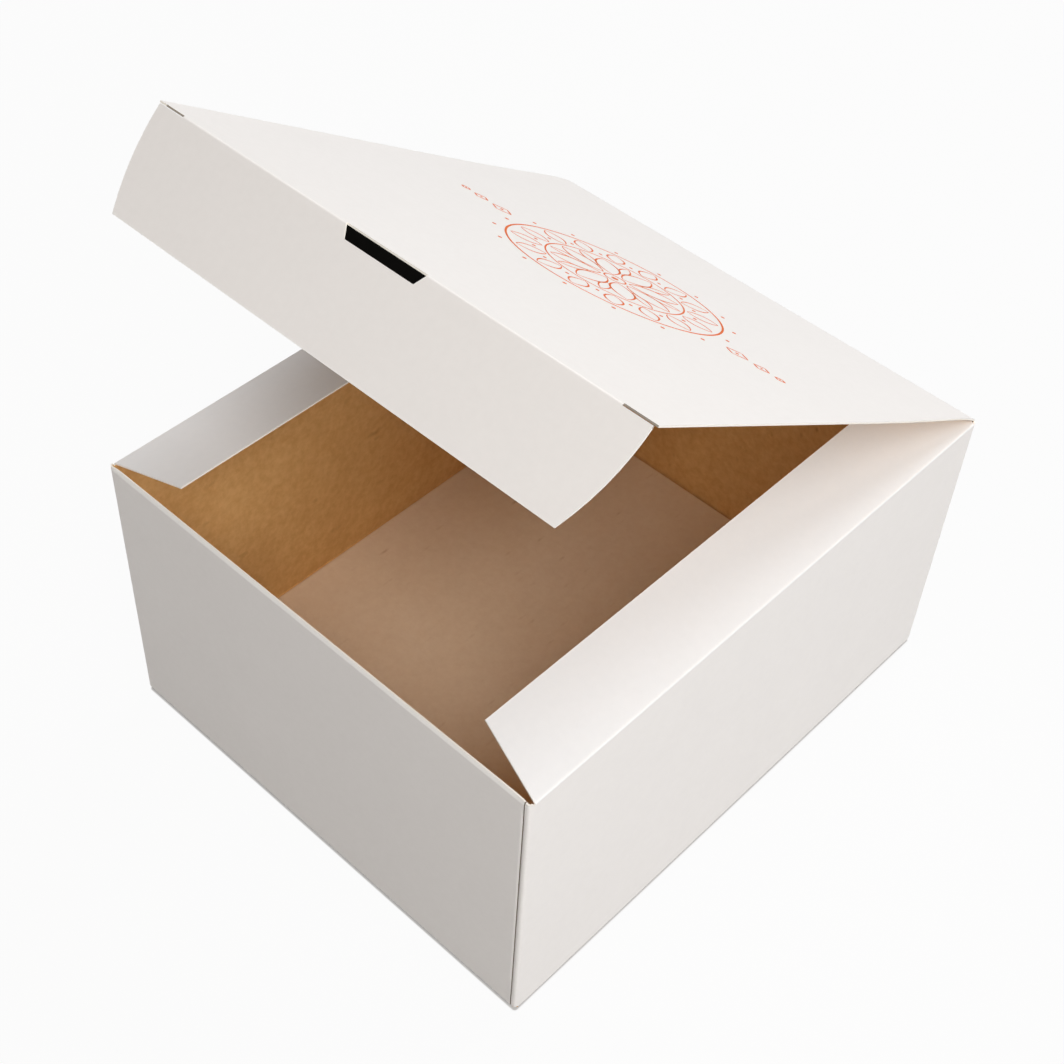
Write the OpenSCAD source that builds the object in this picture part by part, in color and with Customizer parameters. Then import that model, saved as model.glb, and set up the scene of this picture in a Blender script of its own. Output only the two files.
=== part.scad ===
// Tuck-front product box, folded and glued from one sheet of thin board.
// It stands open: the lid is raised on the crease of the back wall, its
// tuck flap hangs from the front crease, and both dust flaps have sprung up.
// The origin is on the floor, in the middle of the base: X runs right,
// Y runs back and Z runs up. Sizes are in millimetres and degrees.

/* [Box] */
// Outer width, along the front wall
box_w = 160; // [100:1:240]
// Outer depth, along the side walls
box_d = 190; // [120:1:280]
// Outer height with the lid shut
box_h = 100; // [50:1:160]
// Thickness of the board
board = 0.5; // [0.3:0.05:0.8]
// Outer radius of the rounded folds
fold_r = 1.2; // [0.9:0.1:2]
// Running clearance beside a crease that turns
crease_gap = 0.05; // [0.03:0.01:0.1]

/* [Glued corner] */
// How far the glue flap reaches behind the front wall
glue_flap_w = 15; // [8:1:25]
// How far the ends of the glue flap slant back
glue_flap_slant = 4; // [2:0.5:8]
// How far the ends of the glue flap stay from the rim and the base
glue_flap_inset = 4; // [3:0.5:8]
// Width of the fold that shows beside the seam
seam_strip = 1.7; // [1.3:0.1:3]
// Width of the open seam line
seam_gap = 0.2; // [0.1:0.05:0.4]

/* [Base] */
// Length of the two side flaps between the base panels
base_flap_len = 62; // [30:1:75]
// How far the sides of these flaps taper in
base_flap_taper = 8; // [2:1:20]
// Gap between the free edge of a base panel and the wall
base_edge_gap = 0.8; // [0.4:0.1:2]

/* [Lid] */
// How far the lid stands open
lid_angle = 33; // [0:1:100]
// How far each side of the lid stays within the box
lid_side_gap = 0.2; // [0:0.1:1]
// Clearance of the shut tuck flap behind the front wall
tuck_clear = 0.4; // [0.3:0.1:1.5]
// Clearance of the shut lid above the dust flaps
lid_rest_gap = 0.3; // [0.3:0.1:1]
// Clearance of the front rim below the shut lid
rim_gap = 0.1; // [0.1:0.05:0.3]

/* [Tuck flap] */
// Depth of the tuck flap from its crease
tuck_depth = 29; // [18:0.5:35]
// How far the tuck flap is folded down from the plane of the lid
tuck_fold = 73; // [0:1:100]
// How far each end of the flap stays within the side walls
tuck_side_gap = 0.5; // [0.3:0.1:1.5]
// How far the rounded ends draw in at the free edge
tuck_end_draw = 6; // [4:0.5:14]
// Length of the slit lock at each end of the crease
slit_len = 8.5; // [4:0.5:14]
// Width of the slit locks
slit_w = 0.7; // [0.5:0.1:1.2]
// Width of the thumb notch at the crease
notch_w = 26; // [16:1:40]
// Width of the thumb notch at its bottom
notch_bottom_w = 22.5; // [12:0.5:36]
// Depth of the thumb notch
notch_depth = 3.2; // [2:0.1:8]

/* [Dust flaps] */
// Width of the dust flaps from their creases
dust_w = 23; // [12:1:35]
// How far the left dust flap has sprung up
dust_left_angle = 8; // [0:1:15]
// How far the right dust flap has sprung up
dust_right_angle = 19; // [0:1:22]
// Distance of the dust flaps from the front of the box
dust_front_gap = 1.8; // [1.6:0.1:6]
// Distance of the dust flaps from the back of the box
dust_back_gap = 1.8; // [1.6:0.1:5]
// How far the front end tapers in at the free edge
dust_front_taper = 5.2; // [3:0.1:10]
// How far the back end tapers in at the free edge
dust_back_taper = 14; // [12:1:25]

/* [Hidden] */
$fn = 48;
bead_r = board / 2;
inner_r = fold_r - board;
over = 1;
// the lid turns in the middle of the back wall's thickness
hinge_y = box_d / 2 - bead_r;
hinge_z = box_h - bead_r;
back_top = hinge_z - bead_r - crease_gap;
front_top = box_h - board - rim_gap;
// the dust flaps turn in the middle of the side walls' thickness, under the shut lid
dust_x = box_w / 2 - bead_r;
dust_z = box_h - board - lid_rest_gap - bead_r;
side_top = dust_z - bead_r - crease_gap;
// the front crease of the lid lies just behind the front wall when the lid is shut
tuck_y = -box_d / 2 + board + tuck_clear + bead_r;
lid_len = hinge_y - tuck_y;
lid_half_w = box_w / 2 - lid_side_gap;
tuck_half_w = box_w / 2 - board - tuck_side_gap;
tuck_bead_half = tuck_half_w - slit_len;
// the base: inner panel on the side flaps on the outer panel, glued together
flap_z = board;
inner_z = 2 * board;
ring_z = inner_z + fold_r;
seam_x = box_w / 2 - seam_strip - seam_gap;
glue_top = side_top - glue_flap_inset;
glue_bottom = ring_z + glue_flap_inset;

// plan outline with rounded corners
module rounded_rect(w, d, r) {
    square([w - 2 * r, d], center = true);
    square([w, d - 2 * r], center = true);
    for (sx = [-1, 1], sy = [-1, 1])
        translate([sx * (w / 2 - r), sy * (d / 2 - r)]) circle(r);
}

// plan section of the four walls with their rounded folds
module wall_section() {
    difference() {
        rounded_rect(box_w, box_d, fold_r);
        rounded_rect(box_w - 2 * board, box_d - 2 * board, inner_r);
    }
}

// a quarter bend of the board, from straight down to flat along +X, swept along Y
module bend(length) {
    rotate([90, 0, 0])
        linear_extrude(length, center = true)
            intersection() {
                translate([fold_r, fold_r])
                    difference() {
                        circle(fold_r);
                        circle(inner_r);
                    }
                square(fold_r);
            }
}

// the bends at the foot of the walls, each at the height of its base panel
module front_bend() {
    translate([0, -box_d / 2, inner_z]) rotate([0, 0, 90]) bend(box_w - 2 * fold_r);
}

module back_bend() {
    translate([0, box_d / 2, 0]) rotate([0, 0, -90]) bend(box_w - 2 * fold_r);
}

module side_bend(side) {
    translate([side * box_w / 2, 0, flap_z])
        rotate([0, 0, side > 0 ? 180 : 0]) bend(box_d - 2 * fold_r);
}

// straight strips of wall between the bends and the walls above them
module wall_feet() {
    strip_x = box_w - 2 * fold_r;
    strip_y = box_d - 2 * fold_r;
    translate([-strip_x / 2, box_d / 2 - board, fold_r]) cube([strip_x, board, ring_z - fold_r]);
    for (side = [-1, 1])
        translate([side * (box_w / 2 - bead_r), 0, (flap_z + fold_r + ring_z) / 2])
            cube([board, strip_y, ring_z - flap_z - fold_r], center = true);
}

// inner base panel, folded from the front wall, with its free edge at the back wall
module inner_base_panel() {
    w = box_w - 2 * fold_r;
    from_y = -box_d / 2 + fold_r;
    to_y = box_d / 2 - board - base_edge_gap;
    translate([-w / 2, from_y, inner_z]) cube([w, to_y - from_y, board]);
}

// outer base panel, folded from the back wall, with its free edge at the front wall
module outer_base_panel() {
    w = box_w - 2 * fold_r;
    from_y = -box_d / 2 + base_edge_gap;
    to_y = box_d / 2 - fold_r;
    translate([-w / 2, from_y, 0]) cube([w, to_y - from_y, board]);
}

// tapered flap folded in from the foot of a side wall, between the base panels
module base_side_flap(side) {
    root = box_w / 2 - fold_r;
    half = box_d / 2 - fold_r;
    translate([0, 0, flap_z])
        linear_extrude(board)
            polygon([
                [side * root, -half],
                [side * (root - base_flap_len), -half + base_flap_taper],
                [side * (root - base_flap_len), half - base_flap_taper],
                [side * root, half]
            ]);
}

// glue flap behind the right end of the front wall, with slanted ends
module glue_flap() {
    root = box_w / 2 - board;
    free = root - glue_flap_w;
    translate([0, -box_d / 2 + 2 * board, 0])
        rotate([90, 0, 0])
            linear_extrude(board)
                polygon([
                    [root, glue_bottom],
                    [root, glue_top],
                    [free, glue_top - glue_flap_slant],
                    [free, glue_bottom + glue_flap_slant]
                ]);
}

// the four walls, up to the creases of the dust flaps at the sides, and
// higher at the front and its corners, where the rim is cut, and at the back
// under the lid
module walls() {
    translate([0, 0, ring_z]) linear_extrude(side_top - ring_z) wall_section();
    translate([0, 0, side_top])
        linear_extrude(front_top - side_top)
            intersection() {
                wall_section();
                translate([-box_w / 2, -box_d / 2]) square([box_w, fold_r]);
            }
    translate([0, 0, side_top])
        linear_extrude(back_top - side_top)
            intersection() {
                wall_section();
                translate([-box_w / 2, box_d / 2 - fold_r]) square([box_w, fold_r]);
            }
}

// the sleeve and base: one folded sheet, closed by the glued corner seam
module carton_body() {
    color("whitesmoke") {
        difference() {
            union() {
                walls();
                wall_feet();
                front_bend();
                back_bend();
                side_bend(-1);
                side_bend(1);
            }
            translate([seam_x, -box_d / 2 - over, 0]) cube([seam_gap, board + over, box_h]);
        }
        glue_flap();
        inner_base_panel();
        base_side_flap(-1);
        base_side_flap(1);
        outer_base_panel();
    }
}

// places what is drawn with +Y pointing away from a crease at the lid's front crease
module at_front_crease() {
    translate([0, hinge_y, hinge_z])
        rotate([-lid_angle, 0, 0])
            translate([0, -lid_len, 0]) children();
}

// the lid panel, with a rounded crease at the back wall
module lid() {
    front_stop = slit_w / 2;
    color("white")
        translate([0, hinge_y, hinge_z])
            rotate([-lid_angle, 0, 0]) {
                rotate([0, 90, 0]) cylinder(h = 2 * lid_half_w, r = bead_r, center = true);
                translate([-lid_half_w, -lid_len + front_stop, -bead_r])
                    cube([2 * lid_half_w, lid_len - front_stop, board]);
            }
}

// plan of the tuck flap up to one rounded end, drawn for the right end
module tuck_end() {
    end_r = (tuck_end_draw * tuck_end_draw + tuck_depth * tuck_depth) / (2 * tuck_end_draw);
    centre_x = tuck_half_w - end_r;
    translate([centre_x - 2 * tuck_half_w, 0]) square([2 * tuck_half_w, tuck_depth]);
    translate([centre_x, 0]) circle(end_r, $fn = 180);
}

// outline of the tuck flap: rounded ends, thumb notch in the middle of the crease
module tuck_outline() {
    difference() {
        intersection() {
            translate([-tuck_half_w, 0]) square([2 * tuck_half_w, tuck_depth]);
            tuck_end();
            mirror([1, 0, 0]) tuck_end();
        }
        polygon([
            [-notch_w / 2, -over],
            [-notch_w / 2, 0],
            [-notch_bottom_w / 2, notch_depth],
            [notch_bottom_w / 2, notch_depth],
            [notch_w / 2, 0],
            [notch_w / 2, -over]
        ]);
    }
}

// the tuck flap with its rounded crease, cut free of the lid at the slits and the notch
module tuck_flap() {
    bead_len = tuck_bead_half - notch_w / 2;
    color("white")
        at_front_crease()
            rotate([tuck_fold, 0, 0]) {
                for (side = [-1, 1])
                    translate([side * (notch_w / 2 + bead_len / 2), 0, 0])
                        rotate([0, 90, 0]) cylinder(h = bead_len, r = bead_r, center = true);
                mirror([0, 1, 0])
                    translate([0, 0, -bead_r]) linear_extrude(board) tuck_outline();
            }
}

// a dust flap that lies inwards from its crease, drawn for the left side
module dust_flap(raise) {
    front_y = -box_d / 2 + dust_front_gap;
    back_y = box_d / 2 - dust_back_gap;
    translate([-dust_x, 0, dust_z])
        rotate([0, -raise, 0]) {
            translate([0, (front_y + back_y) / 2, 0])
                rotate([90, 0, 0]) cylinder(h = back_y - front_y, r = bead_r, center = true);
            translate([0, 0, -bead_r])
                linear_extrude(board)
                    polygon([
                        [0, front_y],
                        [dust_w, front_y + dust_front_taper],
                        [dust_w, back_y - dust_back_taper],
                        [0, back_y]
                    ]);
        }
}

module dust_flap_left() {
    color("gainsboro") dust_flap(dust_left_angle);
}

module dust_flap_right() {
    color("white") mirror([1, 0, 0]) dust_flap(dust_right_angle);
}

carton_body();
lid();
tuck_flap();
dust_flap_left();
dust_flap_right();
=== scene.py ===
"""Looks of the tuck-front product box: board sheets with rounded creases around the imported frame."""
import math

import bmesh
import bpy
from mathutils import Matrix, Vector


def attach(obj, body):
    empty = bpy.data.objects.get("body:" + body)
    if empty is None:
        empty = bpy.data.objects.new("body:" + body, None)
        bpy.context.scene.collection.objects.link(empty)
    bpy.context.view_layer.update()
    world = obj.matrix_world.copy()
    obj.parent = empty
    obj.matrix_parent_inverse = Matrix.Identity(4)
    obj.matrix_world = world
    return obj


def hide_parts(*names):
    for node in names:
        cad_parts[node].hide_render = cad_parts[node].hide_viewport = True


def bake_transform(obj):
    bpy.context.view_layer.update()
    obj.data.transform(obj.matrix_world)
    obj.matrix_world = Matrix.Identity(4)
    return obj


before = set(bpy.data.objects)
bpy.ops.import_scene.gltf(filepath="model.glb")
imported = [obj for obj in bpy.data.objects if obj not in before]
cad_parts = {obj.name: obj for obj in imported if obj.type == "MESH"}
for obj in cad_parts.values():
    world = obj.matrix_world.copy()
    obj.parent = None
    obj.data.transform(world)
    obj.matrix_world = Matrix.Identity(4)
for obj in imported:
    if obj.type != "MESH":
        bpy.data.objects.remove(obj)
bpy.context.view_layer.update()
MM = 0.001

# sizes of the box in millimetres, as in the CAD source
BOX_W, BOX_D = 160.0, 190.0
BOARD = 0.5
FOLD_R = 1.2
SEAM_X = 78.1, 78.3  # open line of the glued corner
SEAM_SIDES = 76.8, 78.78  # flat strip of the front wall round that line
BAND_Z, RIM_Z = 98.3, 99.4  # foot and top of the pressed band at the front rim
HINGE = Vector((0, 94.75, 99.75))
LID_ANGLE = math.radians(33)
LID_LEN = 188.6
LID_HALF = 79.8
DUST_X, DUST_Z = 79.75, 98.95
DUST_W = 23.0
DUST_FRONT, DUST_BACK = -93.2, 94.1
DUST_TAPERS = 5.2, 14.0
DUST_SQUARE = 2.5  # the back end runs square this far from the crease
DUST_ANGLES = {"left": math.radians(8), "right": math.radians(19)}
TUCK_FOLD = math.radians(73)
TUCK_DEPTH = 29.0
TUCK_HALF = 79.0
TUCK_END_DRAW = 6.0
SLIT_START = 70.5
NOTCH_HALF, NOTCH_BOTTOM_HALF, NOTCH_DEPTH = 13.0, 11.25, 3.2
# size of the near-black sheet behind the thumb notch, which is painted shade
SHADE_SHEET_HALF, SHADE_SHEET_THICK = 16.0, 0.12
CREASE_REACH = 0.3  # from the crease line to the wall below it
WALL_ZONE = 1.3  # how deep a wall and its rounded corners reach in from outside

# the finishes of a board piece, in the order of its materials; the last is painted shade, a darker tone for edges
# deep in a gap
COATED, LINED, RAW, BASE, GAP_SHADE = range(5)


# Camera

def aim_camera():
    """The photograph's viewpoint, solved from the box's corners in a 1064 x 1064 picture."""
    focal_px, picture_px = 1783, 1064
    azimuth, elevation, roll = (math.radians(a) for a in (40.55, 46.89, 3.68))
    target, distance = Vector((-0.01088, 0.00539, 0.05)), 0.5497
    back = Vector((math.sin(azimuth) * math.cos(elevation), -math.cos(azimuth) * math.cos(elevation),
                   math.sin(elevation)))
    right = (-back).cross(Vector((0, 0, 1))).normalized()
    up = right.cross(-back)
    across = right * math.cos(roll) + up * math.sin(roll)
    upright = -right * math.sin(roll) + up * math.cos(roll)
    data = bpy.data.cameras.new("camera")
    data.sensor_width = 36
    data.lens = data.sensor_width * focal_px / picture_px
    camera = bpy.data.objects.new("camera", data)
    place = Matrix((across, upright, back)).transposed().to_4x4()
    place.translation = target + back * distance
    camera.matrix_world = place
    bpy.context.scene.collection.objects.link(camera)
    bpy.context.scene.camera = camera


# Shader node groups

def group_sockets(group, inputs, outputs):
    for name, kind, value in inputs:
        socket = group.interface.new_socket(name, in_out="INPUT", socket_type=kind)
        if value is not None:
            socket.default_value = value
    for name, kind in outputs:
        group.interface.new_socket(name, in_out="OUTPUT", socket_type=kind)


def add(tree, kind, values=None, **settings):
    """A node with its settings, and the values of its inputs by name or number."""
    node = tree.nodes.new(kind)
    for name, value in settings.items():
        setattr(node, name, value)
    for name, value in (values or {}).items():
        node.inputs[name].default_value = value
    return node


def math_node(tree, operation, a, b=None, clamp=False):
    node = add(tree, "ShaderNodeMath", operation=operation, use_clamp=clamp)
    for socket, value in zip(node.inputs, (a, b)):
        if isinstance(value, (int, float)):
            socket.default_value = value
        elif value is not None:
            tree.links.new(value, socket)
    return node.outputs[0]


def noise(tree, vector, scale, detail=3.0, roughness=0.5):
    node = add(tree, "ShaderNodeTexNoise", {"Scale": scale, "Detail": detail, "Roughness": roughness})
    tree.links.new(vector, node.inputs["Vector"])
    return node.outputs["Fac"]


def remap(tree, value, low, high, to_low=0.0, to_high=1.0):
    node = add(tree, "ShaderNodeMapRange", {"From Min": low, "From Max": high, "To Min": to_low, "To Max": to_high})
    tree.links.new(value, node.inputs["Value"])
    return node.outputs["Result"]


def mix_colour(tree, factor, a, b):
    node = add(tree, "ShaderNodeMix", data_type="RGBA")
    for socket, value in zip((node.inputs[0], node.inputs[6], node.inputs[7]), (factor, a, b)):
        if isinstance(value, (int, float, tuple)):
            socket.default_value = value
        else:
            tree.links.new(value, socket)
    return node.outputs[2]


def paper_group():
    """Paper fibres: a fine tooth, longer fibres, slow clouds and dark flecks, from a place in metres."""
    group = bpy.data.node_groups.new("paper_fibres", "ShaderNodeTree")
    group_sockets(group,
                  [("Vector", "NodeSocketVector", None), ("Fleck Size", "NodeSocketFloat", 1.0)],
                  [("Tooth", "NodeSocketFloat"), ("Clouds", "NodeSocketFloat"), ("Flecks", "NodeSocketFloat")])
    source = add(group, "NodeGroupInput")
    out = add(group, "NodeGroupOutput")
    place = source.outputs["Vector"]
    grain = noise(group, place, 2600, 2.0, 0.6)
    stretch = add(group, "ShaderNodeMapping", {"Scale": (1.0, 0.22, 0.6)})
    group.links.new(place, stretch.inputs["Vector"])
    fibre = noise(group, stretch.outputs["Vector"], 1500, 3.0, 0.55)
    tooth = math_node(group, "ADD", math_node(group, "MULTIPLY", grain, 0.45),
                      math_node(group, "MULTIPLY", fibre, 0.55))
    clouds = math_node(group, "ADD", math_node(group, "MULTIPLY", noise(group, place, 60, 3.0, 0.6), 0.35),
                       math_node(group, "MULTIPLY", noise(group, place, 420, 3.0, 0.65), 0.65))
    cells = add(group, "ShaderNodeTexVoronoi", {"Scale": 300.0, "Randomness": 1.0})
    group.links.new(stretch.outputs["Vector"], cells.inputs["Vector"])
    limit = math_node(group, "MULTIPLY", source.outputs["Fleck Size"], 0.26)
    spot = math_node(group, "SUBTRACT", 1.0, math_node(group, "DIVIDE", cells.outputs["Distance"], limit), True)
    rare = remap(group, noise(group, place, 170, 2.0, 0.5), 0.5, 0.72)
    flecks = math_node(group, "MULTIPLY", spot, rare)
    for name, value in (("Tooth", tooth), ("Clouds", clouds), ("Flecks", flecks)):
        group.links.new(value, out.inputs[name])
    return group


def rub_and_highlight_group():
    """Breaks up the painted mask of rubbing and painted highlight, so that a crease or an edge looks cracked and
    rubbed and not ruled.
    """
    group = bpy.data.node_groups.new("crease_rub_and_highlight", "ShaderNodeTree")
    group_sockets(group,
                  [("Vector", "NodeSocketVector", None), ("Painted", "NodeSocketFloat", 0.0),
                   ("Break Up", "NodeSocketFloat", 0.5)],
                  [("Mask", "NodeSocketFloat")])
    source = add(group, "NodeGroupInput")
    out = add(group, "NodeGroupOutput")
    rough = noise(group, source.outputs["Vector"], 900, 4.0, 0.7)
    shift = math_node(group, "MULTIPLY", math_node(group, "SUBTRACT", rough, 0.5), source.outputs["Break Up"])
    rubbed_and_highlit = math_node(group, "ADD", source.outputs["Painted"], math_node(group, "MULTIPLY", shift, 2.0))
    painted = remap(group, source.outputs["Painted"], 0.02, 0.3)
    mask = math_node(group, "MULTIPLY", remap(group, rubbed_and_highlit, 0.25, 0.95), painted)
    group.links.new(mask, out.inputs["Mask"])
    return group


PAPER = paper_group()
RUB_AND_HIGHLIGHT = rub_and_highlight_group()


# Materials

def srgb(red, green, blue):
    """A colour written in 0 to 255, as Blender's linear values."""
    def linear(part):
        part /= 255
        return part / 12.92 if part <= 0.04045 else ((part + 0.055) / 1.055) ** 2.4
    return linear(red), linear(green), linear(blue), 1.0


def board_material(name, on_sheet, main, cloudy, rubbed_and_highlit, roughness, tooth_height, fleck=None, fleck_size=1.0,
                   sheen=0.0, shine=0.35):
    """Paper or board in two close tones, with fibres, flecks, and creases and edges rubbed lighter, partly as painted
    highlight.
    """
    material = bpy.data.materials.new(name)
    material.use_nodes = True
    tree = material.node_tree
    tree.nodes.clear()
    out = add(tree, "ShaderNodeOutputMaterial")
    shader = add(tree, "ShaderNodeBsdfPrincipled", {"Sheen Weight": sheen, "Specular IOR Level": shine})
    tree.links.new(shader.outputs[0], out.inputs["Surface"])
    if on_sheet:
        place = add(tree, "ShaderNodeUVMap", uv_map="board").outputs["UV"]
    else:
        place = add(tree, "ShaderNodeTexCoord").outputs["Object"]
    fibres = add(tree, "ShaderNodeGroup", node_tree=PAPER)
    fibres.inputs["Fleck Size"].default_value = fleck_size
    rub_and_highlight = add(tree, "ShaderNodeGroup", node_tree=RUB_AND_HIGHLIGHT)
    rub_and_highlight.inputs["Break Up"].default_value = 0.5
    painted = add(tree, "ShaderNodeAttribute", attribute_name="rub_and_highlight", attribute_type="GEOMETRY")
    tree.links.new(painted.outputs["Fac"], rub_and_highlight.inputs["Painted"])
    for group in (fibres, rub_and_highlight):
        tree.links.new(place, group.inputs["Vector"])
    colour = mix_colour(tree, remap(tree, fibres.outputs["Clouds"], 0.36, 0.64), main, cloudy)
    if fleck:
        colour = mix_colour(tree, fibres.outputs["Flecks"], colour, fleck)
    # creases and edges rubbed lighter, partly as painted highlight
    colour = mix_colour(tree, rub_and_highlight.outputs["Mask"], colour, rubbed_and_highlit)
    tree.links.new(colour, shader.inputs["Base Color"])
    rough = remap(tree, fibres.outputs["Clouds"], 0.3, 0.7, roughness - 0.04, roughness + 0.04)
    rough = math_node(tree, "ADD", rough, math_node(tree, "MULTIPLY", rub_and_highlight.outputs["Mask"], 0.2), True)
    tree.links.new(rough, shader.inputs["Roughness"])
    height = math_node(tree, "ADD", math_node(tree, "MULTIPLY", fibres.outputs["Tooth"], tooth_height),
                       math_node(tree, "MULTIPLY", rub_and_highlight.outputs["Mask"], 0.5 * tooth_height))
    bump = add(tree, "ShaderNodeBump", {"Strength": 0.5, "Distance": MM * 0.05})
    tree.links.new(height, bump.inputs["Height"])
    tree.links.new(bump.outputs["Normal"], shader.inputs["Normal"])
    return material


def board_set(on_sheet):
    """The four finishes of one board: coated outside, kraft inside, cut edge and smooth base."""
    where = "sheet" if on_sheet else "body"
    # the third colour of each finish is its lighter rubbed tone, which also paints highlights on creases and edges
    return [
        board_material(f"coated_{where}", on_sheet, srgb(243, 239, 236), srgb(241, 237, 234), srgb(250, 248, 245),
                       0.55, 0.3, sheen=0.05),
        board_material(f"kraft_{where}", on_sheet, srgb(238, 193, 128), srgb(222, 173, 108), srgb(240, 202, 148),
                       0.85, 0.8, fleck=srgb(180, 128, 70), fleck_size=1.0),
        board_material(f"cut_edge_{where}", on_sheet, srgb(253, 249, 241), srgb(246, 240, 229),
                       srgb(253, 250, 244), 0.9, 1.2),
        board_material(f"base_{where}", on_sheet, srgb(241, 221, 195), srgb(235, 213, 186), srgb(243, 224, 200),
                       0.8, 0.5, fleck=srgb(207, 177, 143), fleck_size=0.8),
    ]


def print_material():
    """Red-orange printing ink, a little uneven as it soaks into the coating."""
    material = bpy.data.materials.new("line_print")
    material.use_nodes = True
    tree = material.node_tree
    shader = tree.nodes["Principled BSDF"]
    shader.inputs["Specular IOR Level"].default_value = 0.12
    place = add(tree, "ShaderNodeTexCoord").outputs["Object"]
    blot = noise(tree, place, 900, 3.0, 0.6)
    tree.links.new(mix_colour(tree, remap(tree, blot, 0.35, 0.65), srgb(214, 92, 10), srgb(224, 110, 34)),
                   shader.inputs["Base Color"])
    tree.links.new(remap(tree, blot, 0.3, 0.7, 0.5, 0.62), shader.inputs["Roughness"])
    return material


# painted shade: the cut edges in a narrow gap get a darker colour for the shadow in them
BODY_BOARD = board_set(False) + [board_material("seam_gap_shade", False, srgb(132, 120, 106), srgb(118, 106, 93),
                                                srgb(150, 138, 124), 0.9, 1.2)]
SHEET_BOARD = board_set(True) + [board_material("slit_gap_shade", True, srgb(168, 158, 145), srgb(152, 142, 130),
                                                srgb(184, 175, 163), 0.9, 1.2)]
FLAP_BOARD = [board_material("coated_flap", True, srgb(240, 240, 241), srgb(238, 238, 239), srgb(249, 248, 247),
                             0.55, 0.3, sheen=0.05)] + SHEET_BOARD[1:]


# Mesh helpers

def smoothstep(low, high, value):
    share = min(1.0, max(0.0, (value - low) / (high - low)))
    return share * share * (3 - 2 * share)


def near(distance, reach):
    """1 on a line, fading to 0 at reach from it."""
    return 1 - smoothstep(0, reach, abs(distance))


def cut(mesh, axis, places):
    """Cuts every face of the mesh along planes across an axis."""
    normal = Vector([float(i == axis) for i in range(3)])
    for place in places:
        everything = mesh.verts[:] + mesh.edges[:] + mesh.faces[:]
        bmesh.ops.bisect_plane(mesh, geom=everything, plane_co=normal * place, plane_no=normal, dist=1e-6)


def spread(low, high, steps):
    return [low + (high - low) * i / steps for i in range(1, steps)]


def turn_outwards(shape):
    """Turns the faces of every closed shell in the shape outwards, by the sign of the shell's volume."""
    bmesh.ops.recalc_face_normals(shape, faces=shape.faces)
    shape.normal_update()
    waiting = set(shape.faces)
    while waiting:
        shell = [waiting.pop()]
        for face in shell:  # the list grows as it is read
            beside = {other for edge in face.edges for other in edge.link_faces} & waiting
            waiting -= beside
            shell.extend(beside)
        start = shell[0].calc_center_median()
        if sum(f.calc_area() * f.normal.dot(f.calc_center_median() - start) for f in shell) < 0:
            bmesh.ops.reverse_faces(shape, faces=shell)


def finish_piece(name, shape, materials, rub_and_highlight, flat=None):
    """Makes the object, smooth over its bends and sharp at its cut edges, with its painted rubbing and painted
    highlight.
    """
    sharpest_bend = math.radians(35)
    mesh = bpy.data.meshes.new(name)
    for face in shape.faces:
        face.smooth = not (flat and flat(face))
    shape.to_mesh(mesh)
    shape.free()
    mesh.set_sharp_from_angle(angle=sharpest_bend)
    for material in materials:
        mesh.materials.append(material)
    painted = mesh.attributes.new("rub_and_highlight", "FLOAT", "POINT")
    painted.data.foreach_set("value", rub_and_highlight)
    piece = bpy.data.objects.new(name, mesh)
    bpy.context.scene.collection.objects.link(piece)
    return piece


# The carton: sleeve, glued corner and base

def carton_rub_and_highlight(place):
    """Folds at the corners rubbed lighter, partly as painted highlight, and a painted highlight on the pressed band
    under the front rim.
    """
    x, y, z = place / MM
    fold_reach = 1.4
    corner = near(BOX_W / 2 - abs(x), fold_reach) * near(BOX_D / 2 - abs(y), fold_reach)
    # painted highlight: the pressed band under the front rim is painted lighter for the light it catches
    rim = 0.95 * (1 - smoothstep(0.9, 1.6, RIM_Z - z)) * near(y + BOX_D / 2, 1.0)
    return max(corner * 0.75, rim)


def wall_bow(place):
    """The walls draw in a little at half height, as free board does, and the band at the front rim leans in."""
    x, y, z = place / MM
    height = math.sin(math.pi * min(1.0, max(0.0, z / 98)))
    draw = 0.3 * height * MM
    if y < -BOX_D / 2 + WALL_ZONE and z > BAND_Z:
        share = (z - BAND_Z) / (RIM_Z - BAND_Z) * smoothstep(0, 4, BOX_W / 2 - abs(x))
        lean = 0.5 if y < -BOX_D / 2 + BOARD / 2 else 0.42
        return Vector((0, lean * share * MM, 0))
    if abs(y) > BOX_D / 2 - WALL_ZONE and abs(x) < BOX_W / 2:
        return Vector((0, -math.copysign(draw, y) * math.cos(math.pi * x / BOX_W), 0))
    if abs(x) > BOX_W / 2 - WALL_ZONE and abs(y) < BOX_D / 2:
        return Vector((-math.copysign(draw, x) * math.cos(math.pi * y / BOX_D), 0, 0))
    return Vector((0, 0, 0))


def carton_finish(face):
    """Which side of the board a face is."""
    place, normal = face.calc_center_median() / MM, face.normal
    slack = 0.05
    # painted shade: the faces in the glued corner's open line take the dark gap finish
    if SEAM_X[0] - slack < place.x < SEAM_X[1] + slack and place.y < BOARD - BOX_D / 2 + slack:
        return GAP_SHADE
    x, y, z = abs(place.x), abs(place.y), place.z
    if normal.z > 0.9 and z > 90:
        return RAW
    if normal.z > 0.9 and z < 3:
        return BASE
    inside = x < BOX_W / 2 - BOARD + slack and y < BOX_D / 2 - BOARD + slack and z > BOARD
    if inside and abs(normal.z) < 0.9:
        return LINED
    return COATED


def beside_seam(face):
    """The faces at the seam are flat, or their shading runs round its sharp edges."""
    place = face.calc_center_median() / MM
    return SEAM_SIDES[0] < place.x < SEAM_SIDES[1] and place.y < 1 - BOX_D / 2


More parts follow.
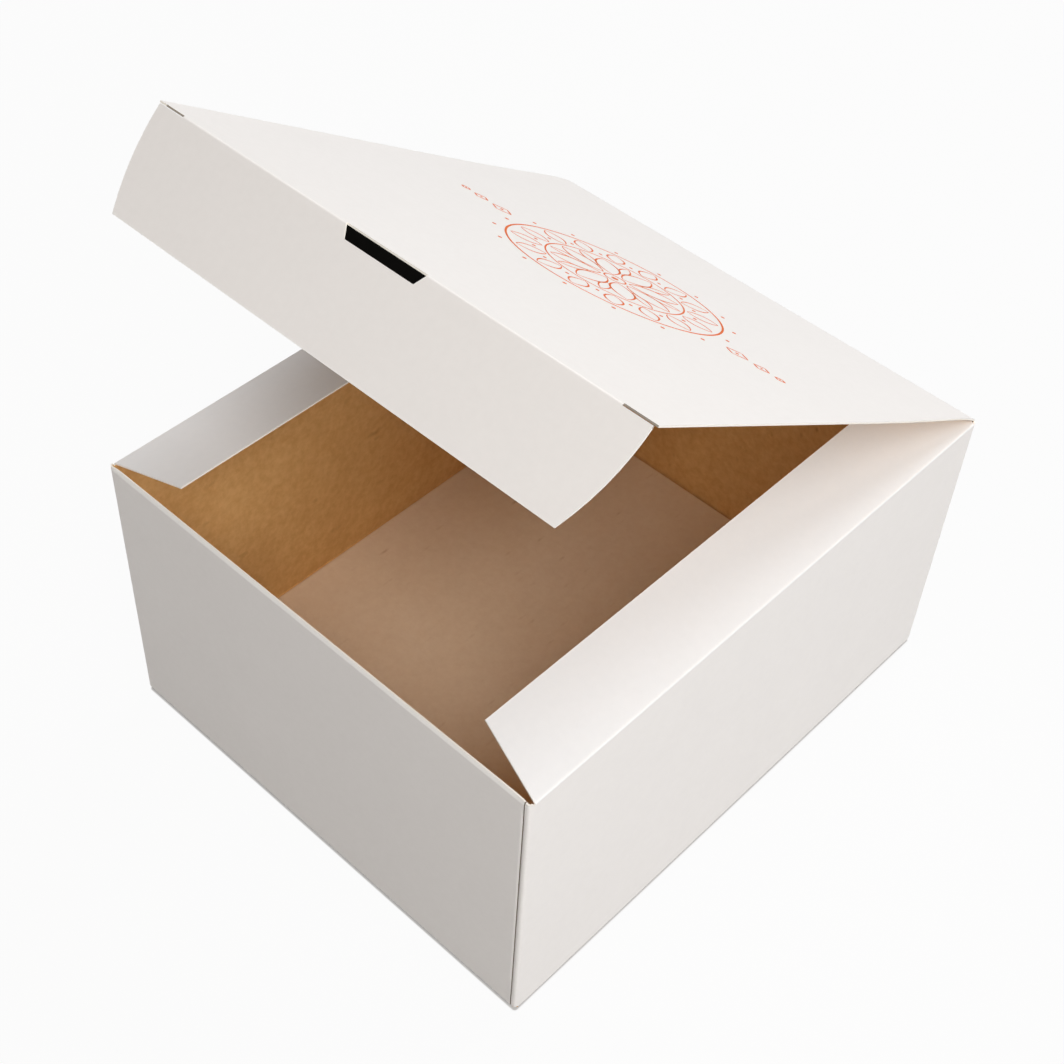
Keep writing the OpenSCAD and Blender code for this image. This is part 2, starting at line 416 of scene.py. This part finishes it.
def make_carton():
    shape = bmesh.new()
    shape.from_mesh(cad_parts["carton_body"].data)
    bmesh.ops.remove_doubles(shape, verts=shape.verts, dist=1e-6)
    bmesh.ops.dissolve_limit(shape, angle_limit=math.radians(0.5), verts=shape.verts, edges=shape.edges)
    half_w, half_d = BOX_W / 2 * MM, BOX_D / 2 * MM
    edge_steps = [0.0018, 0.003, 0.006]  # the cuts stand closer beside the folds
    cut(shape, 0, spread(-half_w, half_w, 12) + [s * (half_w - e) for e in edge_steps for s in (-1, 1)])
    cut(shape, 1, spread(-half_d, half_d, 14) + [s * (half_d - e) for e in edge_steps for s in (-1, 1)])
    levels = [2.2, 3.5, 6, 14, 24, 36, 48, 60, 72, 84, 92, 96.5, 97.9, BAND_Z, 98.5, 98.8, 99.1]
    cut(shape, 2, [z * MM for z in levels])
    for face in shape.faces:
        face.material_index = carton_finish(face)
    rub_and_highlight = [carton_rub_and_highlight(v.co) for v in shape.verts]
    for vert in shape.verts:
        if abs(vert.co.x / MM - SEAM_X[0]) < 0.01 and vert.co.y / MM < -BOX_D / 2 + 0.1:
            vert.co.x -= 0.12 * MM  # the cut edge is soft, so the line is wider at its mouth
        vert.co += wall_bow(vert.co)
    piece = finish_piece("carton_shell", shape, BODY_BOARD, rub_and_highlight, flat=beside_seam)
    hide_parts("carton_body")
    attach(piece, "carton")


# Sheets of board with a crease

def crease_path(turn, reach):
    """Place and normal of a sheet's middle along its length: straight up to the crease, round it, and straight on.
    Lengths before the crease are negative. The sheet turns by the angle, inside the reach on both sides."""
    radius = reach / math.tan(turn / 2)
    half_arc = radius * turn / 2

    def at(along):
        if along <= -half_arc:
            start = along + half_arc - reach
            return Vector((start, 0)), Vector((0, 1))
        if along >= half_arc:
            past = along - half_arc + reach
            return (Vector((past * math.cos(turn), -past * math.sin(turn))),
                    Vector((math.sin(turn), math.cos(turn))))
        angle = (along + half_arc) / radius
        return (Vector((-reach + radius * math.sin(angle), -radius * (1 - math.cos(angle)))),
                Vector((math.sin(angle), math.cos(angle))))
    return at, half_arc


def flat_slab(across, along, remove=None, shape_edges=None):
    """A flat slab of board, cut across and along at these places, in millimetres."""
    slab = bmesh.new()
    bmesh.ops.create_grid(slab, x_segments=1, y_segments=1, size=0.5)
    size = Vector((across[-1] - across[0], along[-1] - along[0], 1))
    middle = Vector((across[-1] + across[0], along[-1] + along[0], -BOARD)) / 2
    for vert in slab.verts:
        vert.co = Vector((vert.co.x * size.x, vert.co.y * size.y, 0)) + middle
    cut(slab, 0, across[1:-1])
    cut(slab, 1, along[1:-1])
    if remove:
        gone = [f for f in slab.faces if remove(f.calc_center_median())]
        bmesh.ops.delete(slab, geom=gone, context="FACES")
    if shape_edges:
        for vert in slab.verts:
            vert.co.x, vert.co.y = shape_edges(vert.co.x, vert.co.y)
    raised = bmesh.ops.extrude_face_region(slab, geom=slab.faces[:])
    bmesh.ops.translate(slab, verts=[g for g in raised["geom"] if isinstance(g, bmesh.types.BMVert)],
                        vec=(0, 0, BOARD))
    bmesh.ops.recalc_face_normals(slab, faces=slab.faces)
    return slab


def fold_slab(slab, place_of, rub_and_highlight_of, in_slit=None):
    """Gives a flat slab its finishes, its board map and its painted rubbing and highlight, then folds it into place.
    """
    board_map = slab.loops.layers.uv.new("board")
    for face in slab.faces:
        if abs(face.normal.z) > 0.9:
            face.material_index = COATED if face.normal.z > 0 else LINED
        else:
            # painted shade: the cut edges inside a slit take the dark gap finish
            face.material_index = GAP_SHADE if in_slit and in_slit(face.calc_center_median()) else RAW
        for loop in face.loops:
            loop[board_map].uv = loop.vert.co.xy * MM
    rub_and_highlight = [rub_and_highlight_of(v.co.x, v.co.y) for v in slab.verts]
    for vert in slab.verts:
        vert.co = place_of(*vert.co) * MM
    turn_outwards(slab)  # some folds mirror the sheet
    return rub_and_highlight


def crease_cuts(half_arc, steps=6):
    return [half_arc * (2 * i / steps - 1) for i in range(steps + 1)]


# The lid, with its crease at the back wall

LID_DIRECTION = Vector((0, -math.cos(LID_ANGLE), math.sin(LID_ANGLE)))
LID_NORMAL = Vector((0, math.sin(LID_ANGLE), math.cos(LID_ANGLE)))
LID_TURN = math.pi / 2 - LID_ANGLE
TUCK_REACH = 0.3


def lid_rise(along):
    """How far the lid bows up from flat, most of it near the crease."""
    share = max(0.0, along / LID_LEN)
    rise, peak = 0.8, 0.07  # how far, and at what share of the length
    return rise * share / peak * math.exp(1 - share / peak) * (1 - share)


def lid_place(x, along, height=0.0):
    """A place on the lid, from the crease forward, and above the middle of its board."""
    at, _ = crease_path(LID_TURN, CREASE_REACH)
    flat, normal = at(along)
    # the path runs up the back wall, so its first axis is +Z there and its second is +Y, outwards
    place = HINGE + Vector((0, flat.y, flat.x))
    out = Vector((0, normal.y, normal.x))
    return Vector((x, 0, 0)) + place + out * (height + lid_rise(along))


def make_lid():
    _, half_arc = crease_path(LID_TURN, CREASE_REACH)
    crease = crease_cuts(half_arc)
    shorter = CREASE_REACH - half_arc  # the arc is shorter than its two straight reaches
    end = LID_LEN - TUCK_REACH - shorter
    along = crease + [0.9, 1.6, 3, 6, 10, 16, 24, 36] + spread(36, end - 6, 8) + [end - 6, end - 2.5, end - 1, end]
    side_strip = LID_HALF - 2.5
    across = sorted([s * v for s in (-1, 1) for v in (LID_HALF, LID_HALF - 0.8, side_strip, SLIT_START)] +
                    spread(-side_strip, side_strip, 14))

    def corners(x, y):
        # the sheet is narrower at its crease, between the rounded corners of the carton
        inset = 0.5 * (1 - smoothstep(-half_arc, 2.0, y))
        return x * (1 - inset / LID_HALF), y

    # creases and cut edges rubbed lighter, partly as painted highlight
    def rub_and_highlight(x, y):
        return max(0.8 * near(y, 0.8), 0.3 * near(end - y, 0.6), 0.5 * near(LID_HALF - abs(x), 0.8))

    def in_slit(middle):
        # painted shade: the left slit is darkened only at its inner end
        return middle.y > end - 0.1 and (middle.x > SLIT_START or -side_strip < middle.x < -SLIT_START)

    slab = flat_slab(across, along, shape_edges=corners)
    painted = fold_slab(slab, lid_place, rub_and_highlight, in_slit)
    piece = finish_piece("lid_sheet", slab, SHEET_BOARD, painted)
    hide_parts("lid")
    lid_place(0, -half_arc) * MM
    lid_place(0, half_arc + 0.4) * MM
    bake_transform(piece)


# The tuck flap, with its crease at the front of the lid

TUCK_CREASE = HINGE + LID_DIRECTION * LID_LEN
TUCK_END_R = (TUCK_END_DRAW ** 2 + TUCK_DEPTH ** 2) / (2 * TUCK_END_DRAW)
TUCK_END_CENTRE = TUCK_HALF - TUCK_END_R
TUCK_PATH, TUCK_HALF_ARC = crease_path(TUCK_FOLD, TUCK_REACH)


def tuck_place(x, along, height=0.0):
    """A place on the tuck flap: past its crease, down from the lid, and above the middle of its board."""
    flat, normal = TUCK_PATH(along)
    middle = TUCK_CREASE + LID_DIRECTION * flat.x + LID_NORMAL * flat.y
    out = LID_DIRECTION * normal.x + LID_NORMAL * normal.y
    return Vector((x, 0, 0)) + middle + out * height


def tuck_end(along):
    """Half width of the tuck flap at a depth, inside its rounded ends."""
    return TUCK_END_CENTRE + math.sqrt(TUCK_END_R ** 2 - max(0.0, along) ** 2)


def bend_with_tuck(piece):
    tuck_place(0, TUCK_HALF_ARC + 0.3) * MM
    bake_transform(piece)


def make_tuck():
    along = crease_cuts(TUCK_HALF_ARC) + [0.9, 1.6, NOTCH_DEPTH, 5, 8, 12, 16, 20, 24, TUCK_DEPTH - 1, TUCK_DEPTH]
    right_half = (6, NOTCH_HALF, NOTCH_HALF + 1.5, 25, 38, 52, SLIT_START - 1.5, SLIT_START, TUCK_HALF - 1, TUCK_HALF)
    across = sorted([s * v for s in (-1, 1) for v in right_half] + [0])

    def cut_away(middle):
        x, y = abs(middle.x), middle.y
        slit = x > SLIT_START and y < TUCK_HALF_ARC
        return slit or (x < NOTCH_HALF and y < NOTCH_DEPTH)

    def outline(x, y):
        if y > 0 and abs(x) > SLIT_START:
            share = (tuck_end(y) - SLIT_START) / (TUCK_HALF - SLIT_START)
            x = math.copysign(SLIT_START + (abs(x) - SLIT_START) * share, x)
        if abs(x) <= NOTCH_HALF and y >= NOTCH_DEPTH - 0.01:
            share = 1 - smoothstep(NOTCH_DEPTH, 12, y)
            x *= 1 - (1 - NOTCH_BOTTOM_HALF / NOTCH_HALF) * share
        elif abs(abs(x) - NOTCH_HALF) < 0.01 and y > 0:
            x = math.copysign(NOTCH_HALF - (NOTCH_HALF - NOTCH_BOTTOM_HALF) * y / NOTCH_DEPTH, x)
        return x, y

    # creases and cut edges rubbed lighter, partly as painted highlight
    def rub_and_highlight(x, y):
        return max(0.3 * near(y, 0.5), 0.6 * near(TUCK_DEPTH - y, 0.7), 0.6 * near(tuck_end(y) - abs(x), 0.7))

    def in_slit(middle):
        return middle.y < 1 and abs(middle.x) > SLIT_START - 0.1

    slab = flat_slab(across, along, remove=cut_away, shape_edges=outline)
    painted = fold_slab(slab, tuck_place, rub_and_highlight, in_slit)
    piece = finish_piece("tuck_sheet", slab, SHEET_BOARD, painted)
    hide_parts("tuck_flap")
    bend_with_tuck(piece)


def make_notch_shade_sheet():
    """A near-black sheet over the inside of the crease behind the thumb notch: painted shade, which stands for the
    dark seen through the notch.
    """
    across = [-SHADE_SHEET_HALF, -15, -8, 0, 8, 15, SHADE_SHEET_HALF]
    along = [-3.2, -2.4, -1.2] + crease_cuts(TUCK_HALF_ARC) + [1.2, 3, 5, 5.6]
    slab = flat_slab(across, along)
    for vert in slab.verts:
        vert.co.z = -BOARD / 2 - (SHADE_SHEET_THICK if vert.co.z < 0 else 0.0)
    painted = fold_slab(slab, tuck_place, lambda x, y: 0.5 * near(abs(x) - SHADE_SHEET_HALF, 1.0))
    # painted shade: near-black board, its edges a little lighter
    shade_black = board_material("notch_shade_black", True, srgb(12, 11, 10), srgb(8, 8, 7), srgb(26, 24, 22), 0.95, 0.6,
                          shine=0.03)
    piece = finish_piece("notch_shade_sheet", slab, [shade_black, shade_black, shade_black], painted)
    bend_with_tuck(piece)


# The dust flaps, with their creases along the side walls

def make_dust_flap(hand):
    side = -1 if hand == "left" else 1
    at, half_arc = crease_path(math.pi / 2 - DUST_ANGLES[hand], CREASE_REACH)
    shorter = CREASE_REACH - half_arc
    free = DUST_W - shorter
    along = crease_cuts(half_arc) + [1.0, 1.8, 3, 6, 10, 15, 20, free - 0.8, free]
    across = [DUST_FRONT, DUST_FRONT + 1, DUST_FRONT + 4] + spread(DUST_FRONT + 4, DUST_BACK - 4, 14) + \
        [DUST_BACK - 4, DUST_BACK - 1, DUST_BACK]

    def taper(y_along_crease, out):
        share = max(0.0, out / free)
        front = DUST_FRONT + DUST_TAPERS[0] * share
        back = DUST_BACK - DUST_TAPERS[1] * max(0.0, (out - DUST_SQUARE) / (free - DUST_SQUARE))
        return front + (y_along_crease - DUST_FRONT) / (DUST_BACK - DUST_FRONT) * (back - front), out

    def place(y, out, height):
        flat, normal = at(out)
        return Vector((side * (DUST_X + flat.y + normal.y * height), y, DUST_Z + flat.x + normal.x * height))

    # crease and cut edges rubbed lighter, partly as painted highlight, most at the free edge
    def rub_and_highlight(y, out):
        return max(0.8 * near(out, 0.7), 0.9 * near(free - out, 0.8), 0.8 * near(y - DUST_FRONT, 0.8))

    slab = flat_slab(across, along, shape_edges=taper)
    painted = fold_slab(slab, place, rub_and_highlight)
    piece = finish_piece(f"dust_sheet_{hand}", slab, FLAP_BOARD, painted)
    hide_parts(f"dust_flap_{hand}")
    place(0, -half_arc, 0) * MM
    place(0, half_arc + 0.4, 0) * MM
    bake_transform(piece)


# Printed ornament on the lid

ORNAMENT_CENTRE = Vector((2, 92))
INK_HEIGHT = 0.03


def stroke(ink, path, width, steps, tapered=True):
    """A thin printed line along path(0..1), in millimetres round the ornament's centre, finer at both ends."""
    strip = bmesh.new()
    bmesh.ops.create_grid(strip, x_segments=steps, y_segments=1, size=1.0)
    for vert in strip.verts:
        t = (vert.co.x + 1) / 2
        run = (path(t + 0.01) - path(t - 0.01)).normalized()
        swell = 0.4 + 0.6 * math.sin(math.pi * t) if tapered else 1.0
        aside = width / 2 * swell * vert.co.y
        centre = path(t)
        vert.co = Vector((centre.x - run.y * aside, centre.y + run.x * aside, 0))
    part = bpy.data.meshes.new("stroke")
    strip.to_mesh(part)
    strip.free()
    ink.from_mesh(part)
    bpy.data.meshes.remove(part)


def ring(ink, radius, width, steps=96):
    def path(t):
        return Vector((math.cos(2 * math.pi * t), math.sin(2 * math.pi * t))) * radius
    stroke(ink, path, width, steps, tapered=False)


def petal(ink, angle, inner, outer, half_width, line):
    """Two mirrored curves that meet in a point at both ends."""
    along = Vector((math.cos(angle), math.sin(angle)))
    aside = Vector((-along.y, along.x))
    for side in (-1, 1):
        def path(t, side=side):
            centre = along * (inner + (outer - inner) * t)
            return centre + aside * side * half_width * math.sin(math.pi * t) ** 0.8 if 0 < t < 1 else centre
        stroke(ink, path, line, 14)


def lozenge(ink, centre, half_length, half_width):
    """Four straight lines round a dot."""
    for end in (-1, 1):
        for flank in (-1, 1):
            def path(t, end=end, flank=flank):
                return Vector((centre + end * half_length * (1 - t), flank * half_width * t))
            stroke(ink, path, 0.6, 3)
    dot(ink, Vector((centre, 0)), 0.16 * half_length)


def dot(ink, place, radius):
    bmesh.ops.create_circle(ink, cap_ends=True, segments=10, radius=radius,
                            matrix=Matrix.Translation((place.x, place.y, 0)))


def around(count, radius, start=0.0):
    for i in range(count):
        angle = start + 2 * math.pi * i / count
        yield angle, Vector((math.cos(angle), math.sin(angle))) * radius


def make_ornament():
    """A rosette of pointed petals in rings, with a row of lozenges to each side, all in thin lines."""
    ink = bmesh.new()
    for radius, width in ((3.2, 0.5), (20.5, 0.5), (32.0, 0.65)):
        ring(ink, radius, width)
    for angle, _ in around(8, 0):
        petal(ink, angle, 4.2, 19.2, 3.6, 0.65)
        petal(ink, angle + math.pi / 8, 9.5, 19.6, 1.6, 0.5)
    for angle, _ in around(16, 0, math.pi / 16):
        petal(ink, angle, 21.4, 30.6, 2.7, 0.6)
    for _, place in around(16, 24.0):
        dot(ink, place, 0.6)
    for _, place in around(16, 35.4, math.pi / 16):
        dot(ink, place, 0.65)
    dot(ink, Vector((0, 0)), 1.1)
    for side in (-1, 1):
        for place, half_length, half_width in ((42.0, 3.6, 2.6), (50.0, 2.6, 1.9), (56.0, 1.7, 1.2)):
            lozenge(ink, side * place, half_length, half_width)
    raised = bmesh.ops.extrude_face_region(ink, geom=ink.faces[:])
    bmesh.ops.translate(ink, verts=[g for g in raised["geom"] if isinstance(g, bmesh.types.BMVert)],
                        vec=(0, 0, INK_HEIGHT))
    for vert in ink.verts:
        x, along = ORNAMENT_CENTRE + vert.co.xy
        vert.co = lid_place(x, along, BOARD / 2 + vert.co.z) * MM
    turn_outwards(ink)
    piece = finish_piece("lid_ornament", ink, [print_material()], [0.0] * len(ink.verts))
    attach(piece, "lid")


# Floor, background and light

def seen_plainly(tree):
    """1 for the camera's own rays and for what shows in a gloss."""
    path = add(tree, "ShaderNodeLightPath")
    return math_node(tree, "MAXIMUM", path.outputs["Is Camera Ray"],
                     math_node(tree, "MAXIMUM", path.outputs["Is Glossy Ray"], path.outputs["Is Transmission Ray"]))


def make_stage():
    floor_mesh = bpy.data.meshes.new("floor")
    floor_shape = bmesh.new()
    bmesh.ops.create_grid(floor_shape, x_segments=1, y_segments=1, size=3.0)
    for vert in floor_shape.verts:
        vert.co.z = -0.05 * MM
    floor_shape.to_mesh(floor_mesh)
    floor_shape.free()
    floor = bpy.data.objects.new("floor", floor_mesh)
    bpy.context.scene.collection.objects.link(floor)
    material = bpy.data.materials.new("floor")
    material.use_nodes = True
    tree = material.node_tree
    tree.nodes.clear()
    out = add(tree, "ShaderNodeOutputMaterial")
    matt = add(tree, "ShaderNodeBsdfDiffuse", {"Color": (0.46, 0.455, 0.45, 1)})
    white = add(tree, "ShaderNodeEmission", {"Color": (1, 1, 1, 1), "Strength": 1.0})
    mix = add(tree, "ShaderNodeMixShader")
    foot = add(tree, "ShaderNodeTexCoord").outputs["Object"]
    inner = ((BOX_W / 2 - FOLD_R) * MM, (BOX_D / 2 - FOLD_R) * MM, 1.0)
    for operation, value in (("ABSOLUTE", None), ("SUBTRACT", inner), ("MAXIMUM", (0, 0, 0)), ("LENGTH", None)):
        step = add(tree, "ShaderNodeVectorMath", operation=operation)
        tree.links.new(foot, step.inputs[0])
        if value:
            step.inputs[1].default_value = value
        foot = step.outputs["Value" if operation == "LENGTH" else "Vector"]
    # painted contact shadow: in a ring at the rounded foot of the box the floor shows less of its white, so the
    # floor's own lit shading shows there as a dark line
    clear = remap(tree, foot, (FOLD_R - 0.35) * MM, (FOLD_R + 0.1) * MM, 0.2, 0.95)
    seen = math_node(tree, "MULTIPLY", seen_plainly(tree), clear)
    tree.links.new(seen, mix.inputs[0])
    tree.links.new(matt.outputs[0], mix.inputs[1])
    tree.links.new(white.outputs[0], mix.inputs[2])
    tree.links.new(mix.outputs[0], out.inputs["Surface"])
    floor_mesh.materials.append(material)


def make_light():
    world = bpy.data.worlds.new("studio")
    bpy.context.scene.world = world
    world.use_nodes = True
    tree = world.node_tree
    tree.nodes.clear()
    out = add(tree, "ShaderNodeOutputWorld")
    glow = add(tree, "ShaderNodeBackground", {"Color": (1, 0.98, 0.96, 1), "Strength": 0.03})
    white = add(tree, "ShaderNodeBackground", {"Color": (1, 1, 1, 1), "Strength": 1.0})
    mix = add(tree, "ShaderNodeMixShader")
    tree.links.new(seen_plainly(tree), mix.inputs[0])
    tree.links.new(glow.outputs[0], mix.inputs[1])
    tree.links.new(white.outputs[0], mix.inputs[2])
    tree.links.new(mix.outputs[0], out.inputs["Surface"])
    area_light("right lamp", 90, 21, 0.9, 7.1, (0.99, 1.0, 1.01))
    area_light("back lamp", 180, 50, 0.9, 9.9, (0.99, 1.0, 1.01))
    area_light("front lamp", 47, 53, 0.6, 8.0, (1.0, 0.975, 0.945))
    area_light("low lamp", 0, 30, 0.9, 2.4, (1.0, 0.965, 0.93))
    area_light("left lamp", 270, 12, 0.9, 1.7, (1.0, 0.98, 0.96))
    bpy.context.scene.view_settings.view_transform = "Standard"


def area_light(name, turn, rise, size, watts, colour):
    """A round lamp round the box: turn is the angle from the front towards the right, rise the height angle."""
    distance, aim = 1.3, Vector((0, 0, 0.06))
    turn, rise = math.radians(turn), math.radians(rise)
    level = distance * math.cos(rise)
    data = bpy.data.lights.new(name, "AREA")
    data.shape = "DISK"
    data.size = size
    data.energy = watts
    data.color = colour
    lamp = bpy.data.objects.new(name, data)
    lamp.location = (level * math.sin(turn), -level * math.cos(turn), distance * math.sin(rise) + aim.z)
    lamp.rotation_euler = (aim - lamp.location).to_track_quat("-Z", "Y").to_euler()
    bpy.context.scene.collection.objects.link(lamp)


aim_camera()
make_stage()
make_light()
make_carton()
make_lid()
make_tuck()
make_notch_shade_sheet()
make_dust_flap("left")
make_dust_flap("right")
make_ornament()
